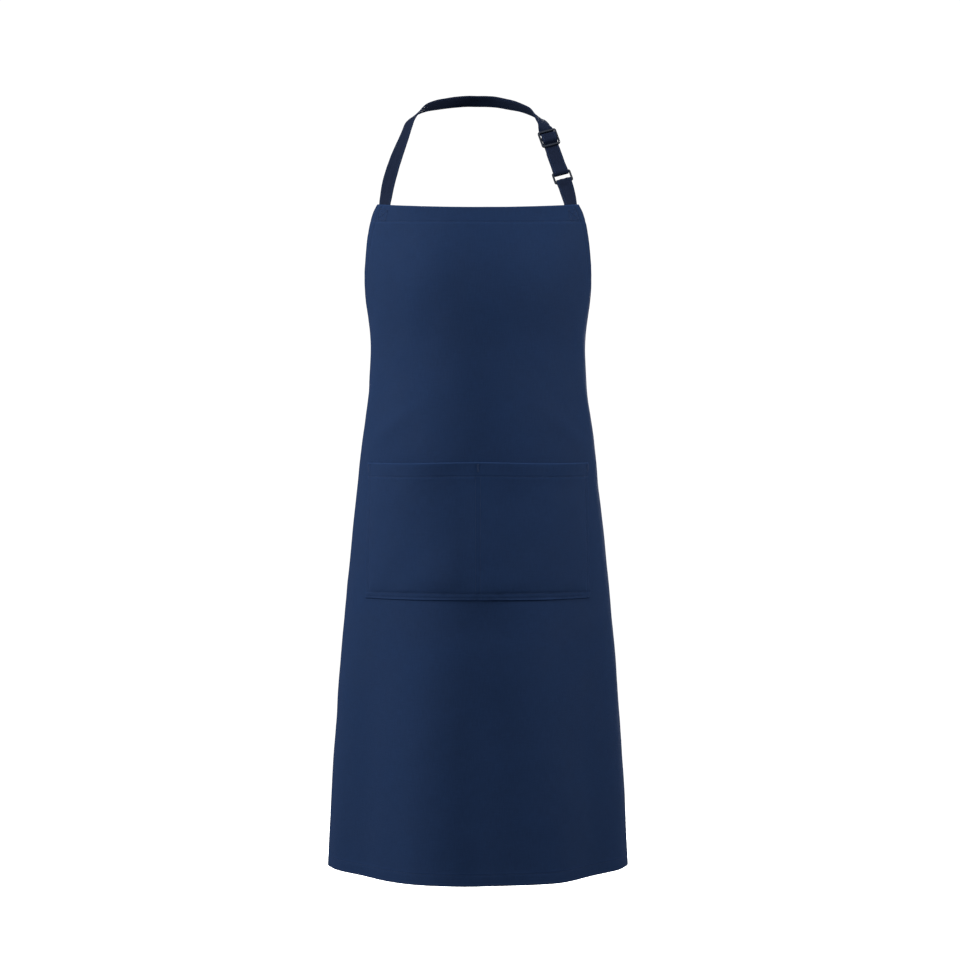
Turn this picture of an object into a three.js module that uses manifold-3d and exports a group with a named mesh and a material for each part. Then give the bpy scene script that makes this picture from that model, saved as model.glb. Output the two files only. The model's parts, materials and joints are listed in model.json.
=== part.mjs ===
// A bib apron as it is worn: cloth panel, twin patch pocket, neck strap with a slider and a
// square ring, and two waist ties tied in a bow at the back.
//
// Millimetres, +Z up. The wearer faces -Y, so the wearer's left is +X. The origin is where the
// inner face of the neck strap rests on the nape of the neck.
//
// Every cloth piece is a box with many faces, bent onto the wearer's form or along a route.
import * as THREE from "three";
import { mergeVertices } from "three/addons/utils/BufferGeometryUtils.js";
import Module from "manifold-3d";

const wasm = await Module();
wasm.setup();

// ---- Driving dimensions ----
const CLOTH = 1.2; // thickness of the twill
const TAPE = 1.5; // thickness of straps and ties, which are folded twill
const FACING = 0.6; // thickness of the bias tape
const STRAP_WIDTH = 19;
const TIE_WIDTH = 25;
const THREAD = 0.6; // how far a dense row of stitches stands up
const GAP = 0.35; // between pieces that touch on the real apron

const TOP_Z = -156; // upper corners of the bib
const TOP_HALF = 145; // half the bib's top edge, along the cloth
const TOP_SAG = 8; // how far the top edge hangs down between the straps
const WAIST_Z = -425; // corners where the ties are sewn
const WAIST_HALF = 320;
const HEM_Z = -1052;
const HEM_HALF = 375;
const FACING_WIDTH = 13; // bias tape inside each armhole edge
const HEM_FOLD = 22; // depth of the folded top hem, which the straps are sewn to

// Layers sewn behind the panel, each measured from the panel's middle and clear of the last.
const FACING_OUT = -CLOTH / 2 - GAP - FACING / 2;
const SEWN_OUT = FACING_OUT - FACING / 2 - 3 * GAP - TAPE / 2;
const SEWN_DEEPER = SEWN_OUT - TAPE - GAP;

const POCKET_TOP = -500;
const POCKET_BOTTOM = -680;
const POCKET_HALF = 180; // half the pocket's width, along the cloth
const POCKET_GAPE = 11; // how far each half of the mouth stands off the panel
const POCKET_LIFT = 0.9; // pocket cloth to panel at the seams

// The wearer's form, from the chest down. Each section is an oval through its front, its widest
// place and its back; peak sharpens the front.
const FORM = [
  { z: -150, half: 161, front: -184, side: -84, back: 22, peak: 0.05 },
  { z: -240, half: 156.5, front: -200, side: -86, back: 30, peak: 0.08 },
  { z: -352, half: 144.5, front: -197, side: -82, back: 16, peak: 0.15 },
  { z: -500, half: 160.5, front: -203, side: -66, back: 46, peak: 0.25 },
  { z: -760, half: 187.3, front: -209, side: -34, back: 110, peak: 0.45 },
  { z: -1052, half: 208, front: -215, side: 0, back: 190, peak: 0.7 },
];

// Square ring and slider: moulded, for a 19 mm strap.
const HARDWARE_WIDTH = 26;
const SLOT_WIDTH = 20.6;
const RING_BAR = 3.3;
const RING_OPENING = 11.5;
const RING_DEPTH = 2.8;
const SLIDER_LENGTH = 26;
const SLIDER_BAR = 3;
const SLIDER_DEPTH = 3;
const CENTRE_BAR = 5;
const CENTRE_BAR_DEPTH = 2;
const SLIDER_AT = 63; // slider centre above ring centre, along the strap
const RING_SLACK = 1.5; // room round the ring's upper bar in the strap's loop
const LOOP_GAP = 0.45; // between a strap and the bar it goes round

const vec = (x, y, z) => new THREE.Vector3(x, y, z);

// ---- The wearer's form ----

// A smooth curve through the FORM values of one key, at height z.
function formValue(key, z) {
  let i = FORM.length - 2;
  while (i > 0 && z > FORM[i].z) i -= 1;
  const [a, b] = [FORM[i], FORM[i + 1]];
  const before = FORM[Math.max(i - 1, 0)];
  const after = FORM[Math.min(i + 2, FORM.length - 1)];
  const span = b.z - a.z;
  const t = (z - a.z) / span;
  const slopeA = ((b[key] - before[key]) / (b.z - before.z)) * span;
  const slopeB = ((after[key] - a[key]) / (after.z - a.z)) * span;
  const [t2, t3] = [t * t, t * t * t];
  return (
    (2 * t3 - 3 * t2 + 1) * a[key] +
    (t3 - 2 * t2 + t) * slopeA +
    (3 * t2 - 2 * t3) * b[key] +
    (t3 - t2) * slopeB
  );
}

const SECTION_STEPS = 180;
const sections = new Map();

// The form's section at height z, from the front round to the back, with the distance walked.
function section(z) {
  const key = z.toFixed(2);
  if (sections.has(key)) return sections.get(key);
  const [half, front, side, back, peak] = ["half", "front", "side", "back", "peak"].map((k) =>
    formValue(k, z),
  );
  const points = [];
  let walked = 0;
  for (let i = 0; i <= SECTION_STEPS; i += 1) {
    const angle = (Math.PI * i) / SECTION_STEPS;
    const c = Math.cos(angle);
    const depth = c > 0 ? (front - side) * ((1 - peak) * c + peak * c * c) : (side - back) * c;
    const point = { x: half * Math.sin(angle), y: side + depth, walked: 0 };
    if (i > 0) {
      const last = points[i - 1];
      walked += Math.hypot(point.x - last.x, point.y - last.y);
    }
    point.walked = walked;
    points.push(point);
  }
  sections.set(key, points);
  return points;
}

// Half the way round the form at height z.
const halfGirth = (z) => section(z)[SECTION_STEPS].walked;

// The point at distance s from the centre front, along the section at height z.
function formPoint(s, z) {
  const points = section(z);
  const far = Math.min(Math.abs(s), points[SECTION_STEPS].walked);
  let [low, high] = [0, SECTION_STEPS];
  while (high - low > 1) {
    const middle = (low + high) >> 1;
    if (points[middle].walked <= far) low = middle;
    else high = middle;
  }
  const [a, b] = [points[low], points[high]];
  const t = (far - a.walked) / (b.walked - a.walked);
  return vec(Math.sign(s) * (a.x + t * (b.x - a.x)), a.y + t * (b.y - a.y), z);
}

// The way round the form at a point: square to its height, towards the wearer's left in front.
const roundForm = (s, z) => formPoint(s + 2, z).sub(formPoint(s - 2, z)).normalize();

const upForm = (s, z) => formPoint(s, z + 4).sub(formPoint(s, z - 4)).normalize();

// The same point, moved out from the form by out.
function onForm(s, z, out = 0) {
  return formPoint(s, z).addScaledVector(roundForm(s, z).cross(upForm(s, z)).normalize(), out);
}

// ---- Cloth ----

// A closed sheet: place(u, v, w) says where each point of a unit box goes. u runs across, v along
// and w out of the cloth, each from -0.5 to 0.5. Both faces are split along the same diagonals.
function sheet(across, along, place) {
  const row = across + 1;
  const layer = row * (along + 1);
  const position = [];
  for (const w of [-0.5, 0.5]) {
    for (let i = 0; i < layer; i += 1) {
      const [u, v] = [(i % row) / across - 0.5, Math.floor(i / row) / along - 0.5];
      position.push(...place(u, v, w).toArray());
    }
  }
  const index = [];
  for (let j = 0; j < along; j += 1) {
    for (let a = j * row; a < j * row + across; a += 1) {
      const [b, c, d] = [a + 1, a + 1 + row, a + row];
      index.push(a, d, b, b, d, c);
      index.push(layer + a, layer + b, layer + d, layer + b, layer + c, layer + d);
    }
  }
  // The rim, walked with the cloth on its left.
  const wall = (a, b) => index.push(a, b, layer + b, a, layer + b, layer + a);
  for (let i = 0; i < across; i += 1) {
    wall(i, i + 1);
    wall(along * row + i + 1, along * row + i);
  }
  for (let j = 0; j < along; j += 1) {
    wall(j * row + across, (j + 1) * row + across);
    wall((j + 1) * row, j * row);
  }
  const geometry = new THREE.BufferGeometry();
  geometry.setAttribute("position", new THREE.Float32BufferAttribute(position, 3));
  geometry.setIndex(index);
  geometry.computeVertexNormals();
  return geometry;
}

// A flat tape along a route, or along the part of it between the shares from and to. Each stop
// is [point, direction across the tape, share of the full width].
function tape(stops, width, thickness, steps, from = 0, to = 1) {
  const line = new THREE.CatmullRomCurve3(stops.map(([at]) => at));
  return sheet(1, steps, (u, v, w) => {
    const t = from + (v + 0.5) * (to - from);
    const i = Math.min(Math.floor(t * (stops.length - 1)), stops.length - 2);
    const mix = t * (stops.length - 1) - i;
    const [, a, shareA = 1] = stops[i];
    const [, b, shareB = 1] = stops[i + 1];
    const along = line.getTangent(t);
    const across = a.clone().lerp(b, mix);
    across.addScaledVector(along, -across.dot(along)).normalize();
    const out = across.clone().cross(along);
    return line
      .getPoint(t)
      .addScaledVector(across, u * width * THREE.MathUtils.lerp(shareA, shareB, mix))
      .addScaledVector(out, w * thickness);
  });
}

// The armhole edge in the flat cloth: distance from the centre front, and height.
const armhole = new THREE.CubicBezierCurve(
  new THREE.Vector2(TOP_HALF, TOP_Z),
  new THREE.Vector2(189, -198),
  new THREE.Vector2(180, -325),
  new THREE.Vector2(WAIST_HALF, WAIST_Z),
);
const ARMHOLE_ROWS = 18;
const SIDE_ROWS = 20;
const PANEL_ROWS = ARMHOLE_ROWS + SIDE_ROWS;
const HALF_COLUMNS = 14;

// Half the panel's width and its height at a row, counted from the top edge down to the hem.
function outline(row) {
  if (row < ARMHOLE_ROWS) {
    const p = armhole.getPoint(row / ARMHOLE_ROWS);
    return { half: p.x, z: p.y };
  }
  const t = (row - ARMHOLE_ROWS) / SIDE_ROWS;
  return {
    half: WAIST_HALF + t * (HEM_HALF - WAIST_HALF),
    z: WAIST_Z + t * (HEM_Z - WAIST_Z),
  };
}

// How far the cloth hangs down between the straps, fading out below the top edge.
const SAG_FADE = 90;
const sag = (share, z) => TOP_SAG * (1 - share * share) * Math.exp((z - TOP_Z) / SAG_FADE);

// A point of the panel. Columns count from the centre front; the last one is as wide as the
// facing, so that the facing lies flat behind it.
function onPanel(column, row, out) {
  const { half, z } = outline(row);
  const inner = half - FACING_WIDTH;
  const most = HALF_COLUMNS - 1;
  const away = Math.abs(column);
  const s = away <= most ? (inner * away) / most : inner + FACING_WIDTH * (away - most);
  return onForm(Math.sign(column) * s, z - sag(s / half, z), out);
}

function frontPanel() {
  return sheet(2 * HALF_COLUMNS, PANEL_ROWS, (u, v, w) =>
    onPanel(2 * u * HALF_COLUMNS, (0.5 - v) * PANEL_ROWS, w * CLOTH),
  );
}

// Bias tape inside an armhole edge. side is 1 on the wearer's left and -1 on the right.
function armholeFacing(side) {
  const rows = ARMHOLE_ROWS - 1;
  return sheet(1, rows, (u, v, w) => {
    const column = side * (HALF_COLUMNS - 0.5) + u;
    return onPanel(column, ARMHOLE_ROWS - (v + 0.5) * rows, FACING_OUT + w * FACING);
  });
}

// How far the pocket stands off the panel: nothing at its seams, most at each half of its mouth.
function pocketLift(share, height) {
  const lobe = Math.sin(Math.PI * Math.abs(share)) ** 1.5;
  return POCKET_GAPE * lobe * Math.sqrt(height);
}

function pocketPanel() {
  return sheet(36, 10, (u, v, w) => {
    const height = v + 0.5;
    const z = POCKET_BOTTOM + height * (POCKET_TOP - POCKET_BOTTOM);
    const out = CLOTH + POCKET_LIFT + pocketLift(2 * u, height) + w * CLOTH;
    return onForm(2 * u * POCKET_HALF, z, out);
  });
}

// A bar tack: a short dense row of thread across the pocket's mouth at a seam.
function barTack(s, z, length, out) {
  const width = 2.5;
  return sheet(2, 1, (u, v, w) => onForm(s + u * width, z + v * length, out + w * THREAD));
}

// Box stitching: a square of thread with both diagonals, laid on the cloth round (s, z).
function boxStitch(s, z, size, out, turn = 0) {
  const line = 1.4;
  const half = size / 2;
  const outer = new THREE.Shape([
    new THREE.Vector2(-half, -half),
    new THREE.Vector2(half, -half),
    new THREE.Vector2(half, half),
    new THREE.Vector2(-half, half),
  ]);
  const base = half - line;
  const tip = line * 0.75;
  for (let i = 0; i < 4; i += 1) {
    const hole = [
      new THREE.Vector2(-base + tip, base),
      new THREE.Vector2(base - tip, base),
      new THREE.Vector2(0, tip),
    ];
    const centre = new THREE.Vector2(0, 0);
    outer.holes.push(new THREE.Path(hole.map((p) => p.rotateAround(centre, (Math.PI / 2) * i))));
  }
  const geometry = new THREE.ExtrudeGeometry(outer, { depth: THREAD, bevelEnabled: false });
  geometry.rotateZ(turn);
  const position = geometry.getAttribute("position");
  for (let i = 0; i < position.count; i += 1) {
    const height = out + position.getZ(i);
    const p = onForm(s + position.getX(i), z + position.getY(i), height);
    position.setXYZ(i, p.x, p.y, p.z);
  }
  geometry.computeVertexNormals();
  return geometry;
}

// ---- Ring, slider and the strap's loops, in a frame on the strap ----
// x across the strap, y up along it, z out of it. The ring's centre is the origin.

const strapFrame = (() => {
  const up = vec(-17.4, 28, 53.8).normalize();
  const out = vec(-0.05, -0.87, 0.49);
  out.addScaledVector(up, -out.dot(up)).normalize();
  const across = up.clone().cross(out);
  return new THREE.Matrix4().makeBasis(across, up, out).setPosition(113.3, -113, -116.3);
})();

// A point of the strap's lengthways section, in the part's frame.
const onStrap = (y, z) => vec(0, y, z).applyMatrix4(strapFrame);
const strapAcross = vec(1, 0, 0).transformDirection(strapFrame);

// A tape whose lengthways section is a list of [y, z] points in the strap's frame.
const strapLoop = (points, width, steps) =>
  tape(
    points.map(([y, z]) => [onStrap(y, z), strapAcross]),
    width,
    TAPE,
    steps,
  );

// Points of an arc in the strap's section, both ends included.
function arc(y, z, radius, from, to, count) {
  return Array.from({ length: count + 1 }, (_, i) => {
    const angle = THREE.MathUtils.degToRad(from + ((to - from) * i) / count);
    return [y + radius * Math.cos(angle), z + radius * Math.sin(angle)];
  });
}

function roundedRect(path, width, height, radius) {
  const [x, y] = [width / 2, height / 2];
  path.moveTo(-x + radius, -y);
  path.lineTo(x - radius, -y);
  path.absarc(x - radius, -y + radius, radius, -Math.PI / 2, 0);
  path.lineTo(x, y - radius);
  path.absarc(x - radius, y - radius, radius, 0, Math.PI / 2);
  path.lineTo(-x + radius, y);
  path.absarc(-x + radius, y - radius, radius, Math.PI / 2, Math.PI);
  path.lineTo(-x, -y + radius);
  path.absarc(-x + radius, -y + radius, radius, Math.PI, 1.5 * Math.PI);
  path.closePath();
  return path;
}

// A moulded plate with softened edges, centred on z = 0.
function plate(shape, depth) {
  const bevel = 0.5;
  const geometry = new THREE.ExtrudeGeometry(shape, {
    depth: depth - 2 * bevel,
    bevelThickness: bevel,
    bevelSize: bevel,
    bevelOffset: -bevel,
    bevelSegments: 1,
    curveSegments: 4,
  });
  return geometry.translate(0, 0, bevel - depth / 2);
}

function squareRing() {
  const length = RING_OPENING + 2 * RING_BAR;
  const shape = roundedRect(new THREE.Shape(), HARDWARE_WIDTH, length, 3);
  shape.holes.push(roundedRect(new THREE.Path(), SLOT_WIDTH, RING_OPENING, 1.2));
  return plate(shape, RING_DEPTH);
}

const toManifold = (geometry) => {
  const bare = geometry.clone();
  for (const name of ["normal", "uv"]) bare.deleteAttribute(name);
  const merged = mergeVertices(bare, 1e-4);
  return new wasm.Manifold(
    new wasm.Mesh({
      numProp: 3,
      vertProperties: merged.getAttribute("position").array,
      triVerts: new Uint32Array(merged.index.array),
    }),
  );
};

const fromManifold = (solid) => {
  const { numProp, numVert, vertProperties, triVerts } = solid.getMesh();
  const position = new Float32Array(numVert * 3);
  for (let i = 0; i < numVert; i += 1) {
    position.set(vertProperties.subarray(i * numProp, i * numProp + 3), i * 3);
  }
  const geometry = new THREE.BufferGeometry();
  geometry.setAttribute("position", new THREE.BufferAttribute(position, 3));
  geometry.setIndex([...triVerts]);
  geometry.computeVertexNormals();
  return geometry;
};

// The slider: an outer frame joined to a thinner centre bar.
function slider() {
  const opening = SLIDER_LENGTH - 2 * SLIDER_BAR;
  const shape = roundedRect(new THREE.Shape(), HARDWARE_WIDTH, SLIDER_LENGTH, 3.5);
  shape.holes.push(roundedRect(new THREE.Path(), SLOT_WIDTH, opening, 1.2));
  const bar = roundedRect(new THREE.Shape(), SLOT_WIDTH + 3, CENTRE_BAR, 0.8);
  const frame = toManifold(plate(shape, SLIDER_DEPTH));
  return fromManifold(frame.add(toManifold(plate(bar, CENTRE_BAR_DEPTH))));
}

// Heights out of the strap's frame, from the ring's plane.
const FRONT_LAYER = 0.9; // the layer that runs from the neck down to the ring
const BACK_LAYER = FRONT_LAYER - 2 * (TAPE + 0.3); // the layer that runs back up to the slider
const SLIDER_Z = FRONT_LAYER + TAPE / 2 + 0.3 + SLIDER_DEPTH / 2;
const END_FRONT = SLIDER_Z + CENTRE_BAR_DEPTH / 2 + LOOP_GAP + TAPE / 2;
const END_BACK = SLIDER_Z - CENTRE_BAR_DEPTH / 2 - LOOP_GAP - TAPE / 2;
const OVER_BAR = END_FRONT + TAPE + LOOP_GAP;
const BAR_CENTRE = (RING_OPENING + RING_BAR) / 2;
const LOOP_TOP = 22; // where the strap's loop round the ring ends, above the ring's centre
const OVER_REACH = 14.5; // half the length of strap that passes over the slider
const TAIL_END = SLIDER_AT - 20; // where the sewn end of the strap stops

// The strap's loop round the ring's upper bar.
function ringLoop() {
  const radius = RING_DEPTH / 2 + RING_SLACK + TAPE / 2;
  const centre = BAR_CENTRE + 0.4;
  return strapLoop(
    [
      [LOOP_TOP, FRONT_LAYER],
      [centre + 9, FRONT_LAYER + 0.5],
      [centre + 4, radius - 0.9],
      ...arc(centre, 0, radius, 90, 270, 8),
      [centre + 4, -radius + 0.4],
      [centre + 9, BACK_LAYER - 0.2],
      [LOOP_TOP, BACK_LAYER],
    ],
    STRAP_WIDTH,
    28,
  );
}

// A straight length of strap between two heights along it.
const run = (from, to, layer, steps) =>
  strapLoop(
    [
      [from, layer],
      [to, layer],
    ],
    STRAP_WIDTH,
    steps,
  );

// The part of the strap that climbs through the slider's slots and over its centre bar.
function strapOverBar() {
  const half = [
    [OVER_REACH, FRONT_LAYER],
    [10.2, FRONT_LAYER],
    [8.2, 1.7],
    [6.9, 3.9],
    [5.9, 6.3],
    [4.3, OVER_BAR - 0.15],
    [2, OVER_BAR],
  ];
  const mirrored = half.map(([y, z]) => [SLIDER_AT - y, z]);
  const top = half.map(([y, z]) => [SLIDER_AT + y, z]);
  return strapLoop([...top, ...mirrored.reverse()], STRAP_WIDTH, 36);
}

// The strap's end, wrapped round the centre bar and sewn to itself below it.
function strapEndLoop() {
  const reach = CENTRE_BAR / 2 + LOOP_GAP + TAPE / 2;
  const at = SLIDER_AT;
  const middle = (END_FRONT + END_BACK) / 2;
  return strapLoop(
    [
      [TAIL_END, BACK_LAYER],
      [at - 12, BACK_LAYER],
      [at - 7, BACK_LAYER + 0.9],
      [at - 3, END_BACK - 0.5],
      [at, END_BACK],
      [at + reach - 1.1, END_BACK + 0.35],
      [at + reach, middle],
      [at + reach - 1.1, END_FRONT - 0.35],
      [at, END_FRONT],
      [at - reach + 1.1, END_FRONT - 0.35],
      [at - reach, middle + 0.3],
      [at - reach - 1.2, 1.6],
      [at - 8, -0.4],
      [at - 11.5, BACK_LAYER + TAPE + 0.3],
      [TAIL_END + 1, BACK_LAYER + TAPE + 0.3],
    ],
    STRAP_WIDTH - 1,
    44,
  );
}

// ---- Routes ----

// A stop on the panel's back, s round the form, drop below the top edge.
const sewnStop = (s, drop, out = SEWN_OUT) => [
  onForm(s, TOP_Z - drop, out),
  roundForm(s, TOP_Z - drop),
];

// The neck strap, from where it is sewn on the wearer's right, round the neck, to the slider.
const STRAP_LEAN = THREE.MathUtils.degToRad(48); // of the strap at the nape
const napeOut = vec(0, Math.cos(STRAP_LEAN), Math.sin(STRAP_LEAN)).multiplyScalar(TAPE / 2);
const sliderAcross = strapAcross.clone().negate();
const strapStart = STRAP_WIDTH / 2 + 0.5 - TOP_HALF;
const neckRoute = [
  sewnStop(strapStart - 5, HEM_FOLD),
  sewnStop(strapStart - 2, 12),
  sewnStop(strapStart, 3),
  [vec(-118.5, -124, -121.5), vec(0.9, -0.42, -0.1)],
  [vec(-108.9, -104, -87.2), vec(0.86, -0.5, -0.05)],
  [vec(-97.3, -85, -52.6), vec(0.7, -0.7, 0.1)],
  [vec(-91.3, -71, -35), vec(0.62, -0.77, 0.12)],
  [vec(-83, -57, -24), vec(0.42, -0.85, 0.24)],
  [vec(-73, -44, -14.8), vec(0.24, -0.86, 0.42)],
  [vec(-57.6, -28, -8.2), vec(0.15, -0.8, 0.56)],
  [vec(-41.3, -14.5, -4), vec(0.1, -0.77, 0.62)],
  [vec(-22, -4.5, -0.8).add(napeOut), vec(0.05, -0.75, 0.66)],
  [napeOut, vec(0, -Math.sin(STRAP_LEAN), Math.cos(STRAP_LEAN))],
  [vec(22, -4.5, -1.4).add(napeOut), vec(-0.05, -0.75, 0.66)],
  [vec(41.3, -14.5, -5.6), vec(-0.1, -0.77, 0.62)],
  [vec(57.6, -28, -11.4), vec(-0.18, -0.8, 0.54)],
  [vec(74.6, -43, -20.8), vec(-0.3, -0.8, 0.52)],
  [vec(85, -60, -32), vec(-0.7, -0.7, 0.1)],
  [onStrap(SLIDER_AT + 24, FRONT_LAYER + 0.3), vec(-0.76, -0.65, -0.02)],
  [onStrap(SLIDER_AT + OVER_REACH + 0.3, FRONT_LAYER), sliderAcross],
];
const UPPER_RUN_FROM = (neckRoute.length - 3) / (neckRoute.length - 1);

// The tab: up behind the bib's corner, round the ring's lower bar and down again.
function ringTabRoute() {
  const radius = 2.6 + TAPE / 2;
  const start = TOP_HALF - STRAP_WIDTH / 2 - 0.5;
  const stop = (y, z) => [onStrap(y, z), strapAcross];
  return [
    sewnStop(start + 5, HEM_FOLD),
    sewnStop(start + 2, 12),
    sewnStop(start, 3),
    stop(-BAR_CENTRE - 9.5, 1.6),
    stop(-BAR_CENTRE - 4, radius - 0.55),
    ...arc(-BAR_CENTRE, 0, radius, 90, -90, 6).map(([y, z]) => stop(y, z)),
    stop(-BAR_CENTRE - 4, -radius + 0.35),
    stop(-BAR_CENTRE - 9.5, -1.6),
    sewnStop(start, 3, SEWN_DEEPER),
    sewnStop(start + 2, 12, SEWN_DEEPER),
    sewnStop(start + 5, HEM_FOLD, SEWN_DEEPER),
  ];
}

const KNOT_Z = -425;
const KNOT = vec(0, formValue("back", KNOT_Z) + 11, KNOT_Z);
const upward = vec(0, 0, 1);

// A waist tie from its sewn end to the knot. side is 1 on the wearer's left, -1 on the right.
function waistTie(side) {
  const z = WAIST_Z - TIE_WIDTH / 2 - 3;
  const end = halfGirth(KNOT_Z);
  const stop = (s, height, out, share) => [
    onForm(side * s, height, out),
    upForm(side * s, height),
    share,
  ];
  const stops = [
    stop(WAIST_HALF - 22, z, SEWN_OUT),
    stop(WAIST_HALF - 8, z, SEWN_OUT),
    stop(WAIST_HALF + 6, z, SEWN_OUT),
    stop(WAIST_HALF + 36, z + 5, 0.5),
    stop(end - 34, KNOT_Z - 1, 3, 0.95),
    [vec(side * 17, KNOT.y - 3.5, KNOT_Z), upward, 0.62],
  ];
  if (side > 0) stops.reverse();
  return tape(stops, TIE_WIDTH, TAPE, 16);
}

// A loop of the bow: out from the knot, round, and back to it on the near side.
function bowLoop(side) {
  const at = (x, y, z) => vec(side * x, KNOT.y + y, KNOT_Z + z);
  const lean = vec(side * 0.35, 0, 1);
  const stops = [
    [at(17, 2, 2), lean, 0.5],
    [at(42, 7, 2), lean, 0.85],
    [at(75, 12, -8), lean],
    [at(104, 12, -22), lean],
    [at(115, 6, -29), lean],
    [at(104, 0.5, -28), lean],
    [at(75, -3, -17), lean],
    [at(42, -3, -6), lean, 0.85],
    [at(17, -1.2, -1), lean, 0.5],
  ];
  if (side > 0) stops.reverse();
  return tape(stops, TIE_WIDTH, TAPE, 32);
}

// A tail of the bow, over the seat of the form and then straight down.
function tieTail(side, length) {
  const at = (x, y, z) => vec(side * x, KNOT.y + y, KNOT_Z + z);
  const end = KNOT_Z - length;
  const across = vec(1, 0, 0);
  return tape(
    [
      [vec(side * 30, KNOT.y + 47, end), vec(1, 0.12 * side, 0)],
      [vec(side * 33, KNOT.y + 46, end + length * 0.3), across],
      [at(26, 43, -220), vec(1, -0.15 * side, 0)],
      [at(19, 34, -130), across],
      [at(15, 19, -62), across, 0.95],
      [at(11, 6, -24), across, 0.75],
      [at(8.5, 2, -15), across, 0.55],
    ],
    TIE_WIDTH,
    TAPE,
    30,
  );
}

function bowKnot() {
  return new THREE.SphereGeometry(1, 18, 12).scale(15, 10.5, 13).translate(...KNOT.toArray());
}

// The care label, a blank strip of tape caught in the side hem on the wearer's left.
function careLabel() {
  const [width, height, thickness] = [25, 40, 0.4];
  const hem = 18;
  const s = WAIST_HALF + 5 - hem - width / 2;
  return sheet(4, 2, (u, v, w) =>
    onForm(s + u * width, -505 + v * height, -CLOTH / 2 - 1.2 + w * thickness),
  );
}

// ---- Materials and assembly ----

const finish = (color, roughness) =>
  new THREE.MeshStandardMaterial({ color, roughness, metalness: 0 });
const MATERIALS = {
  twill: finish(0x1f2d4f, 0.85),
  tape: finish(0x1c2947, 0.85),
  thread: finish(0x24335a, 0.6),
  plastic: finish(0x141a28, 0.45),
  label: finish(0xf1f0ea, 0.8),
};

const apron = new THREE.Group();

function add(name, material, geometry, parent = apron) {
  const mesh = new THREE.Mesh(geometry, MATERIALS[material]);
  mesh.name = name;
  parent.add(mesh);
  return mesh;
}

add("front_panel", "twill", frontPanel());
add("pocket_panel", "twill", pocketPanel());
add("armhole_facing_left", "twill", armholeFacing(1));
add("armhole_facing_right", "twill", armholeFacing(-1));

const tackOut = CLOTH * 1.5 + POCKET_LIFT + 0.5 + THREAD / 2;
const tackLength = 10;
const seamInset = 2.5;
const tackZ = POCKET_TOP - tackLength / 2 - 2;
add("pocket_bartack_left", "thread", barTack(POCKET_HALF - seamInset, tackZ, tackLength, tackOut));
add("pocket_bartack_centre", "thread", barTack(0, tackZ, tackLength, tackOut));
add("pocket_bartack_right", "thread", barTack(seamInset - POCKET_HALF, tackZ, tackLength, tackOut));

add("neck_strap", "tape", tape(neckRoute, STRAP_WIDTH, TAPE, 54, 0, UPPER_RUN_FROM));
add("strap_upper_run", "tape", tape(neckRoute, STRAP_WIDTH, TAPE, 10, UPPER_RUN_FROM + 0.001, 1));
add("strap_over_bar", "tape", strapOverBar());
const overEnd = SLIDER_AT - OVER_REACH - 0.3;
add("strap_front_run", "tape", run(LOOP_TOP + 0.3, overEnd, FRONT_LAYER, 4));
add("strap_ring_loop", "tape", ringLoop());
add("strap_return_run", "tape", run(LOOP_TOP + 0.3, TAIL_END - 0.3, BACK_LAYER, 3));
add("strap_end_loop", "tape", strapEndLoop());

const hardware = new THREE.Group();
hardware.applyMatrix4(strapFrame);
apron.add(hardware);
add("square_ring", "plastic", squareRing(), hardware);
add("slider", "plastic", slider(), hardware).position.set(0, SLIDER_AT, SLIDER_Z);
const endTack = new THREE.BoxGeometry(STRAP_WIDTH - 5, 2, THREAD);
const endTackZ = BACK_LAYER - TAPE / 2 - GAP - THREAD / 2;
add("strap_end_bartack", "thread", endTack, hardware).position.set(0, TAIL_END + 4, endTackZ);

add("ring_tab", "tape", tape(ringTabRoute(), STRAP_WIDTH, TAPE, 46));
const stitchSize = 15;
const stitchZ = TOP_Z - HEM_FOLD / 2 - 3;
const stitchS = TOP_HALF - STRAP_WIDTH / 2;
const stitchOut = CLOTH / 2 + 2 * GAP;
const stitchTurn = 0.3;
add("strap_stitch_left", "thread", boxStitch(stitchS, stitchZ, stitchSize, stitchOut, stitchTurn));
add("strap_stitch_right", "thread", boxStitch(-stitchS, stitchZ, stitchSize, stitchOut, -stitchTurn));

add("waist_tie_left", "tape", waistTie(1));
add("waist_tie_right", "tape", waistTie(-1));
const tieStitchS = WAIST_HALF - 11;
const tieStitchZ = WAIST_Z - TIE_WIDTH / 2 - 3;
add("tie_stitch_left", "thread", boxStitch(tieStitchS, tieStitchZ, stitchSize, stitchOut));
add("tie_stitch_right", "thread", boxStitch(-tieStitchS, tieStitchZ, stitchSize, stitchOut));
add("bow_knot", "tape", bowKnot());
add("bow_loop_left", "tape", bowLoop(1));
add("bow_loop_right", "tape", bowLoop(-1));
add("tie_tail_left", "tape", tieTail(1, 455));
add("tie_tail_right", "tape", tieTail(-1, 430));
add("care_label", "label", careLabel());

export default apron;
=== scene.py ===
"""The looks of a navy twill bib apron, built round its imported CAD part.

Every cloth piece starts from its CAD solid: its rows and columns are read back from the solid, made
finer, and given hems, seams, stitches and soft folds. Lengths are metres, in the part's own frame:
+Z up, the wearer faces -Y. Distances across a piece of cloth are measured from its centre line,
and those down it from its top.
"""

import itertools
import json
import math

import bmesh
import bpy
import numpy as np
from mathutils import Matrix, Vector, noise
from mathutils.bvhtree import BVHTree

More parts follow.
